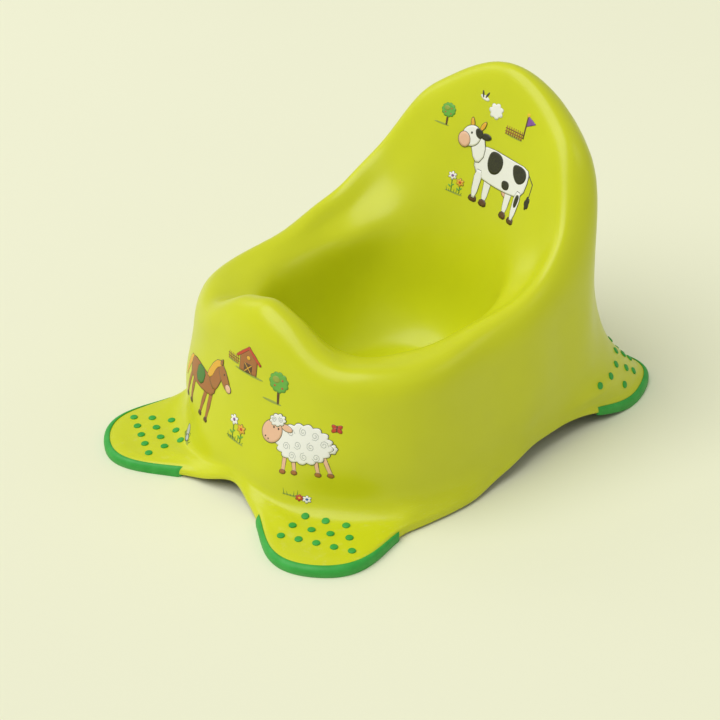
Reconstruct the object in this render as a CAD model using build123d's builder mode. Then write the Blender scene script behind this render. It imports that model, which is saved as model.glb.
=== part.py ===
from build123d import *
import math
import os
from scipy.interpolate import PchipInterpolator

# Toddler's potty chair: one thin plastic shell that folds from the bowl over a rolled
# rim and down to a skirt with four splayed feet. Each foot has a rubber edge grip round
# its lip and a rubber stud mat moulded through it from below.
# Frame: millimetres, +Z up, -Y to the front, +X to the left of a seated child, origin
# on the floor under the middle of the overall box.

# Overall sizes, over the grips
overall_length = 407.0
overall_width = 281.0
back_height = 262.0

# Heights above the floor
seat_height = 126.0
pommel_height = 152.0
thigh_height = 117.0
bowl_floor_height = 30.0
pad_height = 8.0
lip_height = 1.4
front_arch = 12.0
side_arch = 15.0
rear_arch = 13.0

# Shell
wall = 2.2
gate_radius = 26.0
gate_rise = 0.4

# Edge grips
grip_proud = 1.3
grip_inner = 1.0
grip_corner = 0.5
floor_trim = 0.3

# Stud mats
stud_diameter = 6.0
stud_rise = 1.1
stud_edge_round = 0.8
mat_thickness = 1.0
moulding_gap = 0.1

stud_rows = (5, 4, 3)

# Front feet: the middle of the stud pattern, its turn from straight ahead, and the grip's ends
front_foot_angle = 32.4
front_row_reaches = (188.0, 174.5, 160.5)
front_row_turn = 6.0
front_stud_pitches = (13.7, 14.7, 16.0)
front_mat_angles = (20.0, 45.0)
front_grip_angles = (15.0, 51.5)
front_grip_top = 17.35

# Rear feet, on their steeper ramps: rows that bend round the foot. Angles are those of each
# row's middle, pitches are in degrees, and reaches fall by the bend times the square of the
# angle from the foot's tip
rear_tip_angle = 153.5
rear_row_angles = (143.9, 148.75, 152.2)
rear_row_reaches = (202.0, 211.0, 218.5)
rear_row_bend = 0.065
rear_stud_pitches = (4.8, 4.3, 3.9)
rear_mat_angles = (131.5, 159.5)
rear_grip_angles = (133.5, 162.5)
rear_grip_top = 17.5

# Sections of the shell
section_step = 5.0

# The guides are drawn at these sizes and stretched to the overall ones
drawn_half_width = 139.2
drawn_front = -189.9
drawn_rear = 214.7
bowl_centre = -(drawn_front + drawn_rear) / 2

# Guide curves, from the middle of the bowl over the rim to the foot of the skirt. Each
# is half of a closed curve: points (across, along, height) from the front round to the
# back, along measured from the bowl's axis.
f = bowl_floor_height
s = seat_height
b = back_height
gate_guide = [(0, -20, f), (20, 0, f), (0, 20, f)]
floor_guide = [(0, -60, f), (30, -50, f), (50, 0, f), (38, 48, f), (0, 70, f)]
well_low_guide = [(0, -74, f + 14), (36, -63, f + 14), (65, 0, f + 14), (50, 60, f + 14), (0, 85, f + 14)]
well_high_guide = [
    (0, -85, thigh_height - 21), (42, -74, thigh_height - 31), (76, 0, s - 37), (60, 72, s - 32),
    (0, 97, s - 28),
]
mouth_guide = [
    (0, -92, pommel_height - 20), (22, -89, pommel_height - 28), (40, -83, thigh_height - 2),
    (60, -70, thigh_height - 6), (75, -45, s - 15), (84, 0, s - 12), (80, 48, s - 8), (58, 84, s),
    (0, 104, s + 4),
]
seat_guide = [
    (0, -99, pommel_height - 7), (25, -97, pommel_height - 15), (46, -94, thigh_height + 8),
    (67, -83, thigh_height), (85, -53, s - 8), (94, 0, s - 4), (96, 55, s + 4), (84, 88, s + 21),
    (52, 108, s + 46), (0, 120, b - 74),
]
roll_guide = [
    (0, -106, pommel_height - 1), (27, -105, pommel_height - 9), (49, -103, thigh_height + 13),
    (70, -95, thigh_height + 3), (91, -70, s - 6), (101, 0, s), (104, 58, s + 13), (93, 96, s + 40),
    (62, 122, b - 49), (0, 135, b - 17),
]
crest_guide = [
    (0, -115, pommel_height), (29, -114, pommel_height - 9), (52, -112, thigh_height + 12),
    (74, -106, thigh_height + 3), (97, -82, s - 6), (109, 0, s + 1), (111, 59, s + 16), (101, 100, s + 47),
    (73, 131, b - 36), (0, 145, b),
]
shoulder_guide = [
    (0, -124, pommel_height - 8), (33, -123, pommel_height - 19), (57, -121, thigh_height + 2),
    (81, -111, thigh_height - 6), (107, -84, s - 14), (119, 0, s - 8), (120, 63, s + 8), (109, 109, s + 39),
    (82, 143, b - 44), (0, 161, b - 7),
]
wall_high_guide = [
    (0, -132, pommel_height - 38), (37, -129, pommel_height - 46), (63, -124, thigh_height - 22),
    (88, -112, thigh_height - 29), (112, -85, s - 36), (125, 0, s - 31), (125, 67, s - 18), (115, 120, s + 9),
    (84, 154, s + 54), (0, 170, b - 57),
]
wall_low_guide = [
    (0, -146, f + 14), (41, -142, f + 14), (83, -125, f + 12), (116, -90, f + 10), (126, -55, f + 10),
    (130, 0, f + 12), (131, 40, f + 14), (127, 78, f + 18), (118, 131, f + 26), (86, 170, f + 30),
    (0, 177, f + 30),
]
heel_guide = [
    (0, -150, front_arch + 15), (42, -147, front_arch + 11), (83, -126, pad_height + 10),
    (118, -93, pad_height + 10), (128, -57, pad_height + 11), (131, -30, pad_height + 13),
    (131, 0, side_arch + 10), (130, 40, side_arch + 16),
    (127, 80, side_arch + 18), (121, 139, pad_height + 32), (91, 180, pad_height + 31),
    (0, 181, rear_arch + 18),
]
toe_guide = [
    (0, -151, front_arch + 10), (45, -150, front_arch + 1), (87, -133, pad_height + 2),
    (123, -100, pad_height + 3), (130, -65, pad_height + 5), (133, -30, pad_height + 7),
    (132, 0, side_arch + 4), (130, 40, side_arch + 10),
    (127, 81, side_arch + 11), (126, 144, pad_height + 19), (95, 191, pad_height + 18),
    (61, 190, rear_arch + 9), (0, 182.5, rear_arch + 12),
]
flange_guide = [
    (0, -152, front_arch + 6.5), (48, -162, pad_height + 1), (80, -184, pad_height), (113, -177, pad_height),
    (133, -150, pad_height), (129, -102, pad_height), (136, -30, pad_height + 0.5), (133, 0, side_arch - 2),
    (130, 40, side_arch + 5), (127, 81, side_arch + 6), (128, 124, side_arch + 3), (128, 150, pad_height + 5),
    (119, 182, pad_height + 4),
    (99, 205, pad_height + 4), (63, 199, pad_height + 6), (0, 183.5, rear_arch + 7),
]
lip = lip_height
edge_guide = [
    (0, -153, front_arch), (50, -168, lip), (83, -189.5, lip), (116, -182.5, lip), (137.5, -157, lip),
    (130, -101, lip), (137, -30, lip + 1), (134, 0, side_arch - 8), (130, 40, side_arch - 1),
    (127, 81, side_arch),
    (129, 125, side_arch - 5),
    (132, 146, lip), (124, 185, lip), (103, 213, lip), (63, 203, lip + 4), (0, 184, rear_arch),
]
lip_guide = [(x, y, z + 3.2) for x, y, z in edge_guide]
guides = [
    gate_guide, floor_guide, well_low_guide, well_high_guide, mouth_guide, seat_guide, roll_guide,
    crest_guide, shoulder_guide, wall_high_guide, wall_low_guide, heel_guide, toe_guide, flange_guide,
    lip_guide, edge_guide,
]

stretch_across = (overall_width / 2 - grip_proud) / drawn_half_width
stretch_along = (overall_length - 2 * grip_proud) / (drawn_rear - drawn_front)


def guide_curve(points):
    """Radius and height of a closed guide as functions of the angle from the front, in degrees."""
    placed = [(x * stretch_across, y * stretch_along, z) for x, y, z in points]
    angles = [math.degrees(math.atan2(x, -y)) for x, y, z in placed]
    radii = [math.hypot(x, y) for x, y, z in placed]
    heights = [z for x, y, z in placed]
    around = [-a for a in reversed(angles[1:])] + angles + [360 - a for a in reversed(angles[:-1])]
    mirrored_radii = radii[:0:-1] + radii + radii[-2::-1]
    mirrored_heights = heights[:0:-1] + heights + heights[-2::-1]
    return PchipInterpolator(around, mirrored_radii), PchipInterpolator(around, mirrored_heights)


def between(inner, outer, share):
    """A guide that runs a share of the way from one guide to the next."""
    def blend(first, second):
        return lambda angle, order=0: first(angle, order) * (1 - share) + second(angle, order) * share
    return blend(inner[0], outer[0]), blend(inner[1], outer[1])


curves = [guide_curve(points) for points in guides]
toe = guides.index(toe_guide)
curves[toe + 1:toe + 1] = [between(curves[toe], curves[toe + 1], share) for share in (0.3, 0.7)]
curves[1:1] = [between(curves[0], curves[1], share) for share in (0.35, 0.75)]


def radial_plane(angle):
    """The upright plane through the bowl's axis: local x runs outward, local y up."""
    turn = math.radians(angle)
    outward = Vector(math.sin(turn), -math.cos(turn), 0)
    axis_point = (0, bowl_centre * stretch_along, 0)
    return Plane(origin=axis_point, x_dir=outward, z_dir=outward.cross(Vector(0, 0, 1)))


def profile(angle):
    """Points of the outer skin in the radial plane, from the bowl's gate to the skirt's edge."""
    return [(float(radius(angle)), float(height(angle))) for radius, height in curves]


def slopes(angle):
    """How fast each guide moves outward and up, per radian round the axis."""
    per_radian = 180 / math.pi
    return [
        (float(radius(angle, 1)) * per_radian, float(height(angle, 1)) * per_radian)
        for radius, height in curves
    ]


def skin_places(angle, stations):
    """Place, direction and lean of the skin at stations: 2.5 is halfway from guide 2 to 3."""
    points = profile(angle)
    leans = slopes(angle)
    skin = Spline(*points, mode=Mode.PRIVATE)
    knots = [skin.param_at_point(point) for point in points]
    places = []
    for station in stations:
        guide = min(int(station), len(points) - 2)
        share = station - guide
        at = knots[guide] + share * (knots[guide + 1] - knots[guide])
        place = skin.position_at(at)
        along = skin.tangent_at(at)
        outward = leans[guide][0] + share * (leans[guide + 1][0] - leans[guide][0])
        upward = leans[guide][1] + share * (leans[guide + 1][1] - leans[guide][1])
        places.append((place, along, (along.Y * outward - along.X * upward) / place.X))
    return places


def skin_points(angle, stations, depth):
    """Points in the radial plane that lie a depth below the skin, or above it where it is negative."""
    moved = []
    for place, along, lean in skin_places(angle, stations):
        reach = depth * math.hypot(1, lean)
        moved.append((place.X + along.Y * reach, place.Y - along.X * reach))
    return moved


def stations_between(first, last, count):
    """Evenly spaced stations from the first to the last."""
    return [first + (last - first) * i / (count - 1) for i in range(count)]


def angles_between(first, last):
    """The two angles and the shell's own section angles between them."""
    own = [step * section_step for step in range(round(360 / section_step))]
    return [first] + [angle for angle in own if first + 1 < angle < last - 1] + [last]


# ---- Half of the shell: radial sections of the wall, past the mirror plane at both ends
all_guides = list(range(len(curves)))
overrun = 2
with BuildPart() as half_shell:
    for step in range(-overrun, round(180 / section_step) + overrun + 1):
        angle = step * section_step
        with BuildSketch(radial_plane(angle)):
            with BuildLine():
                skin = Spline(*skin_points(angle, all_guides, 0))
                inside = Spline(*skin_points(angle, all_guides, wall))
                Line(skin @ 1, inside @ 1)
                Line(inside @ 0, skin @ 0)
            make_face()
    loft()

# ---- Places on the skin
wall_low, heel, toe, flange, lip, edge = 12, 13, 14, 17, 18, 19


def skin_plane(angle, station):
    """A plane that touches the skin at an angle and a station, its z pointing away from the shell."""
    place, along, lean = skin_places(angle, [station])[0]
    flat = radial_plane(angle)
    sideways = flat.x_dir.cross(Vector(0, 0, -1))
    normal = flat.x_dir * -along.Y + sideways * lean + Vector(0, 0, 1) * along.X
    origin = flat.origin + flat.x_dir * place.X + Vector(0, 0, 1) * place.Y
    return Plane(origin=origin, z_dir=normal.normalized())


def station_at_reach(angle, reach, first, last):
    """The station between two guides where the skin is a given distance from the bowl's axis."""
    for _ in range(20):
        middle = (first + last) / 2
        if skin_places(angle, [middle])[0][0].X < reach:
            first = middle
        else:
            last = middle
    return middle


def plane_at_reach(angle, reach):
    """The skin's plane on a foot at an angle, a given distance from the bowl's axis."""
    return skin_plane(angle, station_at_reach(angle, reach, wall_low, lip))


def straight_rows():
    """Planes for the front studs: straight rows across the foot."""
    planes = []
    row = math.radians(front_row_turn)
    for count, reach, pitch in zip(stud_rows, front_row_reaches, front_stud_pitches):
        for i in range(count):
            across = (i - (count - 1) / 2) * pitch
            out = reach + across * math.sin(row)
            side = across * math.cos(row)
            angle = front_foot_angle + math.degrees(math.atan2(side, out))
            planes.append(plane_at_reach(angle, math.hypot(side, out)))
    return planes


def bent_rows():
    """Planes for the rear studs: rows that bend round the foot's tip."""
    planes = []
    for count, middle, pitch, reach in zip(stud_rows, rear_row_angles, rear_stud_pitches, rear_row_reaches):
        for i in range(count):
            angle = middle + (i - (count - 1) / 2) * pitch
            planes.append(plane_at_reach(angle, reach - rear_row_bend * (angle - rear_tip_angle) ** 2))
    return planes


front_planes = straight_rows()
rear_planes = bent_rows()

# ---- Studs: round pegs through the wall, from the mat below to their rounded tops
stud_root = wall + mat_thickness / 2


def stud_set(planes):
    """The studs of one foot, upright on their planes."""
    with BuildPart() as studs:
        for plane in planes:
            with BuildSketch(plane.offset(-stud_root)):
                Circle(stud_diameter / 2)
            extrude(amount=stud_root + stud_rise)
        circles = studs.edges().filter_by(GeomType.CIRCLE)
        tops = [
            min(circles, key=lambda circle: (circle.arc_center - plane.offset(stud_rise).origin).length)
            for plane in planes
        ]
        fillet(tops, stud_edge_round)
    return studs.part


front_studs = stud_set(front_planes)
rear_studs = stud_set(rear_planes)

# ---- Shell: the right half with its stud holes, mirrored, and the round gate boss in the bowl
with BuildPart() as pierced_half:
    add(half_shell.part)
    split(bisect_by=Plane.YZ, keep=Keep.TOP)
    add(front_studs, mode=Mode.SUBTRACT)
    add(rear_studs, mode=Mode.SUBTRACT)

with BuildPart() as potty_shell:
    add(pierced_half.part)
    mirror(about=Plane.YZ)
    with BuildSketch(Plane(origin=(0, bowl_centre * stretch_along, bowl_floor_height - wall - gate_rise))):
        Circle(gate_radius)
    extrude(amount=wall + 2 * gate_rise)
potty_shell.part.label = "potty_shell"
os.makedirs("parts", exist_ok=True)
export_step(potty_shell.part, "parts/potty_shell.step")


# ---- Edge grips: a rubber bead moulded over the lip of each foot, down to the floor and up inside.
# Each is lofted a trim below the floor and cut flat there, so that it stands on plane faces.
def edge_grip(first_angle, last_angle, top):
    """One grip, lofted through sections that wrap the lip, from a top station on the skin."""
    over_lip = stations_between(top, edge, 7)
    with BuildPart() as grip:
        for angle in angles_between(first_angle, last_angle):
            outer_points = skin_points(angle, over_lip, -grip_proud)
            lining_points = skin_points(angle, over_lip, -moulding_gap)
            wall_top, wall_foot = skin_points(angle, (lip, edge), wall + moulding_gap)
            outer_reach = outer_points[-1][0]
            inner_reach = wall_foot[0] - grip_inner
            foot = lining_points[-1][1] - lip_height - floor_trim
            corner = grip_corner + floor_trim
            with BuildSketch(radial_plane(angle)):
                with BuildLine():
                    outer = Spline(*outer_points)
                    lining = Spline(*lining_points)
                    Polyline(
                        outer @ 1, (outer_reach, foot + corner), (outer_reach - corner, foot),
                        (inner_reach, foot), (inner_reach, wall_top[1]), wall_top,
                        (wall_foot[0], wall_foot[1] - moulding_gap),
                        (lining_points[-1][0], lining_points[-1][1] - moulding_gap), lining @ 1,
                    )
                    Line(lining @ 0, outer @ 0)
                make_face()
        loft()
        split(bisect_by=Plane.XY, keep=Keep.TOP)
    return grip.part


# ---- Stud mats: a thin web under each foot's pad that joins its studs
def stud_mat(mat_angles, mat_stations, studs):
    """One mat with its studs: the web is lofted just under the pad."""
    under_pad = stations_between(*mat_stations, 8)
    with BuildPart() as mat:
        for angle in angles_between(*mat_angles):
            with BuildSketch(radial_plane(angle)):
                with BuildLine():
                    upper = Spline(*skin_points(angle, under_pad, wall + moulding_gap))
                    lower = Spline(*skin_points(angle, under_pad, wall + mat_thickness))
                    Line(upper @ 1, lower @ 1)
                    Line(lower @ 0, upper @ 0)
                make_face()
        loft()
        add(studs)
    return mat.part


def write_pair(left_part, name):
    """Write a piece of the left side and its mirror image for the right."""
    for side, part in (("left", left_part), ("right", left_part.mirror(Plane.YZ))):
        part.label = f"{name.split('_', 1)[0]}_{side}_{name.split('_', 1)[1]}"
        export_step(part, f"parts/{part.label}.step")


write_pair(edge_grip(*front_grip_angles, front_grip_top), "front_edge_grip")
write_pair(edge_grip(*rear_grip_angles, rear_grip_top), "rear_edge_grip")
write_pair(stud_mat(front_mat_angles, (toe - 0.4, flange - 0.2), front_studs), "front_stud_mat")
write_pair(stud_mat(rear_mat_angles, (heel - 0.8, flange - 0.6), rear_studs), "rear_stud_mat")
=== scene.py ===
"""Toddler's potty chair: a glossy lime shell with green rubber edge grips, stud mats and farm prints.

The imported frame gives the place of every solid. The shell's skin is drawn again as a smooth surface, and the
grips, studs and prints are laid on that same surface.
"""

from __future__ import annotations

import logging
import math
from dataclasses import dataclass, field
from enum import Enum, IntEnum
from typing import Any, Callable, Iterable, Sequence

import bpy
import numpy as np
from mathutils import Matrix, Vector


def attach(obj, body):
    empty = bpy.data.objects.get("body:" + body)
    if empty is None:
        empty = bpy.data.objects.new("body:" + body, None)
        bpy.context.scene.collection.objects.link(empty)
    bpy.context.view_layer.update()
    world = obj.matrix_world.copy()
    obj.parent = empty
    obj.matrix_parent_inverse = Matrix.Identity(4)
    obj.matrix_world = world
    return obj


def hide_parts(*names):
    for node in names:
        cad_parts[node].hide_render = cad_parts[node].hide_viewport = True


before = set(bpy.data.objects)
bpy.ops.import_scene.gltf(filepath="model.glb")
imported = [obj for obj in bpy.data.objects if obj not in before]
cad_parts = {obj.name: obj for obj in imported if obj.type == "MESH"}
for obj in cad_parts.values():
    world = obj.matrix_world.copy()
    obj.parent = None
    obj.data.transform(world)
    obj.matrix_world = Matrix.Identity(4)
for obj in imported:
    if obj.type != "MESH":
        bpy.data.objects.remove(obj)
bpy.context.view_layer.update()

LOG = logging.getLogger("potty")
MM = 0.001
Points = Sequence[tuple[float, float, float]]
Colour = tuple[float, float, float, float]
PLAIN: Colour = (1.0, 1.0, 1.0, 1.0)


# ---------------------------------------------------------------------------------------------- curves


def monotone_slopes(at: np.ndarray, values: np.ndarray) -> np.ndarray:
    """Slopes at the knots of a curve that never overshoots.

    Each is the weighted harmonic mean of the two chords that meet there, and zero where the curve turns back.

    Args:
        at: Places of the knots, rising.
        values: The curve's values there.

    Returns:
        One slope for each knot.
    """
    step = np.diff(at)
    chord = np.diff(values) / step
    rising = chord[:-1] * chord[1:] > 0
    before = np.where(rising, chord[:-1], 1.0)
    after = np.where(rising, chord[1:], 1.0)
    weight_before = 2 * step[1:] + step[:-1]
    weight_after = step[1:] + 2 * step[:-1]
    mean = (weight_before + weight_after) / (weight_before / before + weight_after / after)
    return np.concatenate([chord[:1], np.where(rising, mean, 0.0), chord[-1:]])


def monotone_curve(at: np.ndarray, values: np.ndarray, wanted: np.ndarray) -> np.ndarray:
    """Values of the curve that passes through the knots without overshooting.

    Between two knots it is the cubic that has their values and slopes.

    Args:
        at: Places of the knots, rising.
        values: The curve's values there.
        wanted: Places to work the curve out at.

    Returns:
        One value for each wanted place.
    """
    slope = monotone_slopes(at, values)
    left = np.clip(np.searchsorted(at, wanted, side="right") - 1, 0, len(at) - 2)
    step = at[left + 1] - at[left]
    share = (wanted - at[left]) / step
    rest = 1 - share
    return (
        values[left] * (1 + 2 * share) * rest**2
        + values[left + 1] * (3 - 2 * share) * share**2
        + step * share * rest * (slope[left] * rest - slope[left + 1] * share)
    )


def spline_bends(step: np.ndarray, values: np.ndarray) -> np.ndarray:
    """Second derivatives at the knots of the natural cubic spline down each column.

    They solve the usual three-term equations, row by row down and back up, for all columns at once.

    Args:
        step: Knot spacing, one row fewer than the values.
        values: Values at the knots, one row for each knot.

    Returns:
        Second derivatives, in the shape of the values.
    """
    chord = np.diff(values, axis=0) / step
    middle = 2 * (step[:-1] + step[1:])
    right = 6 * np.diff(chord, axis=0)
    for row in range(1, len(middle)):
        share = step[row] / middle[row - 1]
        middle[row] = middle[row] - share * step[row]
        right[row] = right[row] - share * right[row - 1]
    bends = np.zeros_like(values)
    for row in range(len(middle) - 1, -1, -1):
        bends[row + 1] = (right[row] - step[row + 1] * bends[row + 2]) / middle[row]
    return bends


def spline_rows(step: np.ndarray, values: np.ndarray, rows: int) -> np.ndarray:
    """Values of the natural cubic spline at evenly spaced rows between its knots.

    Args:
        step: Knot spacing, one row fewer than the values.
        values: Values at the knots, one row for each knot.
        rows: How many rows each span gets.

    Returns:
        The spline's values, from the first knot to the last.
    """
    bends = spline_bends(step, values)
    after = (np.arange(rows) / rows)[None, :, None]
    before = 1 - after
    pull = (before**3 - before) * bends[:-1, None] + (after**3 - after) * bends[1:, None]
    spans = before * values[:-1, None] + after * values[1:, None] + step[:, None] ** 2 / 6 * pull
    return np.concatenate([spans.reshape(-1, values.shape[1]), values[-1:]])


def rounded(share: np.ndarray) -> np.ndarray:
    """A quarter circle's height, from nothing at 0 to full at 1."""
    return np.sqrt(np.clip(1 - (1 - np.clip(share, 0, 1)) ** 2, 0, 1))


# ------------------------------------------------------------------------------------------------ skin


class Station(IntEnum):
    """Stations of the guide curves that pieces refer to, counted outward from the bowl's gate."""

    well_high = 5
    roll = 8
    crest = 9
    wall_low = 12
    toe = 14
    lip = 18
    edge = 19


class Measure(Enum):
    """What a station is looked up by: the distance out from the bowl's axis, or the height."""

    reach = "reach"
    height = "height"


@dataclass
class Skin:
    """The shell's outer skin, as a place for each angle round the bowl and each station from bowl to edge.

    Stations count guide curves outward from the bowl's gate. Sizes are in millimetres, angles in degrees from
    the front towards +X.
    """

    length: float = 407.0
    width: float = 281.0
    back: float = 262.0
    seat: float = 126.0
    pommel: float = 152.0
    thigh: float = 117.0
    floor: float = 30.0
    pad: float = 8.0
    lip: float = 1.4
    front_arch: float = 12.0
    side_arch: float = 15.0
    rear_arch: float = 13.0
    wall: float = 2.2
    grip_proud: float = 1.3
    lip_rise: float = 3.2
    drawn_half_width: float = 139.2
    drawn_front: float = -189.9
    drawn_rear: float = 214.7
    sample_step: float = 5.0
    bowl_blends: tuple[float, float] = (0.35, 0.75)
    flange_blends: tuple[float, float] = (0.3, 0.7)
    softness: float = 30.0
    columns: int = 720
    rows: int = 24
    look_up_steps: int = 400

    def __post_init__(self) -> None:
        """Works out the table of places and outward directions that every other shape is read from."""
        self.across = (self.width / 2 - self.grip_proud) / self.drawn_half_width
        self.along = (self.length - 2 * self.grip_proud) / (self.drawn_rear - self.drawn_front)
        self.axis = np.array([0.0, -(self.drawn_front + self.drawn_rear) / 2 * self.along, 0.0])
        sampled = np.array([self.sampled(guide) for guide in self.guides()])
        edge, toe = sampled[-1], len(sampled) - 3
        lip = edge + np.array([[0.0], [self.lip_rise]])
        knots = (
            [sampled[0]]
            + [sampled[0] * (1 - share) + sampled[1] * share for share in self.bowl_blends]
            + list(sampled[1 : toe + 1])
            + [sampled[toe] * (1 - share) + sampled[toe + 1] * share for share in self.flange_blends]
            + [sampled[toe + 1], lip, edge]
        )
        radius, height = (self.smoothed(np.array(knots)[:, part]) for part in (0, 1))
        step = np.hypot(np.diff(radius, axis=0), np.diff(height, axis=0))
        turn = np.radians(np.arange(self.columns) * 360 / self.columns)
        self.reach = spline_rows(step, radius, self.rows)
        rise = spline_rows(step, height, self.rows)
        self.table = np.stack([self.reach * np.sin(turn), -self.reach * np.cos(turn), rise], -1) + self.axis
        outward = np.gradient(self.table, axis=0)
        round_axis = np.roll(self.table, -1, 1) - np.roll(self.table, 1, 1)
        normal = np.cross(outward, round_axis)
        self.normal = normal / np.linalg.norm(normal, axis=-1, keepdims=True)

    def guides(self) -> list[Points]:
        """Half of each guide curve, front to back: across, along from the bowl, and height.

        Returns:
            The guides, from the gate out to the edge.
        """
        f, s, b, p, t, pad = self.floor, self.seat, self.back, self.pommel, self.thigh, self.pad
        front, side, rear, lip = self.front_arch, self.side_arch, self.rear_arch, self.lip
        gate = [(0, -20, f), (20, 0, f), (0, 20, f)]
        floor = [(0, -60, f), (30, -50, f), (50, 0, f), (38, 48, f), (0, 70, f)]
        well_low = [(0, -74, f + 14), (36, -63, f + 14), (65, 0, f + 14), (50, 60, f + 14), (0, 85, f + 14)]
        well_high = [(0, -85, t - 21), (42, -74, t - 31), (76, 0, s - 37), (60, 72, s - 32), (0, 97, s - 28)]
        mouth = [
            (0, -92, p - 20), (22, -89, p - 28), (40, -83, t - 2), (60, -70, t - 6), (75, -45, s - 15),
            (84, 0, s - 12), (80, 48, s - 8), (58, 84, s), (0, 104, s + 4),
        ]
        seat = [
            (0, -99, p - 7), (25, -97, p - 15), (46, -94, t + 8), (67, -83, t), (85, -53, s - 8),
            (94, 0, s - 4), (96, 55, s + 4), (84, 88, s + 21), (52, 108, s + 46), (0, 120, b - 74),
        ]
        roll = [
            (0, -106, p - 1), (27, -105, p - 9), (49, -103, t + 13), (70, -95, t + 3), (91, -70, s - 6),
            (101, 0, s), (104, 58, s + 13), (93, 96, s + 40), (62, 122, b - 49), (0, 135, b - 17),
        ]
        crest = [
            (0, -115, p), (29, -114, p - 9), (52, -112, t + 12), (74, -106, t + 3), (97, -82, s - 6),
            (109, 0, s + 1), (111, 59, s + 16), (101, 100, s + 47), (73, 131, b - 36), (0, 145, b),
        ]
        shoulder = [
            (0, -124, p - 8), (33, -123, p - 19), (57, -121, t + 2), (81, -111, t - 6), (107, -84, s - 14),
            (119, 0, s - 8), (120, 63, s + 8), (109, 109, s + 39), (82, 143, b - 44), (0, 161, b - 7),
        ]
        wall_high = [
            (0, -132, p - 38), (37, -129, p - 46), (63, -124, t - 22), (88, -112, t - 29), (112, -85, s - 36),
            (125, 0, s - 31), (125, 67, s - 18), (115, 120, s + 9), (84, 154, s + 54), (0, 170, b - 57),
        ]
        wall_low = [
            (0, -146, f + 14), (41, -142, f + 14), (83, -125, f + 12), (116, -90, f + 10), (126, -55, f + 10),
            (130, 0, f + 12), (131, 40, f + 14), (127, 78, f + 18), (118, 131, f + 26), (86, 170, f + 30),
            (0, 177, f + 30),
        ]
        heel = [
            (0, -150, front + 15), (42, -147, front + 11), (83, -126, pad + 10), (118, -93, pad + 10),
            (128, -57, pad + 11), (131, -30, pad + 13), (131, 0, side + 10), (130, 40, side + 16),
            (127, 80, side + 18), (121, 139, pad + 32), (91, 180, pad + 31), (0, 181, rear + 18),
        ]
        toe = [
            (0, -151, front + 10), (45, -150, front + 1), (87, -133, pad + 2), (123, -100, pad + 3),
            (130, -65, pad + 5), (133, -30, pad + 7), (132, 0, side + 4), (130, 40, side + 10),
            (127, 81, side + 11), (126, 144, pad + 19), (95, 191, pad + 18), (61, 190, rear + 9),
            (0, 182.5, rear + 12),
        ]
        flange = [
            (0, -152, front + 6.5), (48, -162, pad + 1), (80, -184, pad), (113, -177, pad), (133, -150, pad),
            (129, -102, pad), (136, -30, pad + 0.5), (133, 0, side - 2), (130, 40, side + 5),
            (127, 81, side + 6), (128, 124, side + 3), (128, 150, pad + 5), (119, 182, pad + 4),
            (99, 205, pad + 4), (63, 199, pad + 6), (0, 183.5, rear + 7),
        ]
        edge = [
            (0, -153, front), (50, -168, lip), (83, -189.5, lip), (116, -182.5, lip), (137.5, -157, lip),
            (130, -101, lip), (137, -30, lip + 1), (134, 0, side - 8), (130, 40, side - 1), (127, 81, side),
            (129, 125, side - 5), (132, 146, lip), (124, 185, lip), (103, 213, lip), (63, 203, lip + 4),
            (0, 184, rear),
        ]
        return [
            gate, floor, well_low, well_high, mouth, seat, roll, crest, shoulder, wall_high, wall_low, heel,
            toe, flange, edge,
        ]

    def sampled(self, guide: Points) -> np.ndarray:
        """Radius and height of a closed guide at even angles, mirrored from its drawn half.

        Args:
            guide: Half of a guide, from the front to the back.

        Returns:
            Two rows, radius and height, a column for each angle.
        """
        across, along, height = np.array(guide, float).T * np.array([[self.across], [self.along], [1.0]])
        angle = np.degrees(np.arctan2(across, -along))
        round_axis = np.concatenate([-angle[:0:-1], angle, 360 - angle[-2::-1]])
        wanted = np.arange(0, 360, self.sample_step)
        halves = (np.hypot(across, along), height)
        parts = [np.concatenate([half[:0:-1], half, half[-2::-1]]) for half in halves]
        return np.array([monotone_curve(round_axis, part, wanted) for part in parts])

    def smoothed(self, samples: np.ndarray) -> np.ndarray:
        """Even samples round the axis as a sum of waves, the short ones faded, at the table's columns.

        Args:
            samples: Rows of even samples round the axis.

        Returns:
            The same rows, one value for each column of the table.
        """
        waves = np.fft.rfft(samples, axis=-1)
        waves *= np.exp(-((np.arange(waves.shape[-1]) / self.softness) ** 4))
        return np.fft.irfft(waves, self.columns, axis=-1) * (self.columns / samples.shape[-1])

    def read(self, table: np.ndarray, angle: np.ndarray, station: np.ndarray) -> np.ndarray:
        """Values of a table between its rows and columns, weighted by nearness to the four round a place.

        Args:
            table: Places or normals, by row and column.
            angle: Angles round the bowl's axis, in degrees.
            station: Stations from the gate outward.

        Returns:
            Values in the shape of angle and station, x y z last.
        """
        row = np.clip(np.asarray(station, float) * self.rows, 0, len(table) - 1.001)
        column = np.asarray(angle, float) / 360 * self.columns
        row, column = np.broadcast_arrays(row, column)
        top, left = np.floor(row).astype(int), np.floor(column).astype(int)
        down, over = (row - top)[..., None], (column - left)[..., None]
        first, second = left % self.columns, (left + 1) % self.columns
        upper = table[top, first] * (1 - over) + table[top, second] * over
        lower = table[top + 1, first] * (1 - over) + table[top + 1, second] * over
        return upper * (1 - down) + lower * down

    def place(self, angle: Any, station: Any, depth: Any = 0.0) -> np.ndarray:
        """Places that lie a depth below the skin, or above it where the depth is negative.

        Args:
            angle: Angles round the bowl's axis, in degrees.
            station: Stations from the gate outward.
            depth: Distance below the skin along its normal.

        Returns:
            Places in millimetres, x y z last.
        """
        inward = np.asarray(depth)[..., None] * self.read(self.normal, angle, station)
        return self.read(self.table, angle, station) - inward

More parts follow.
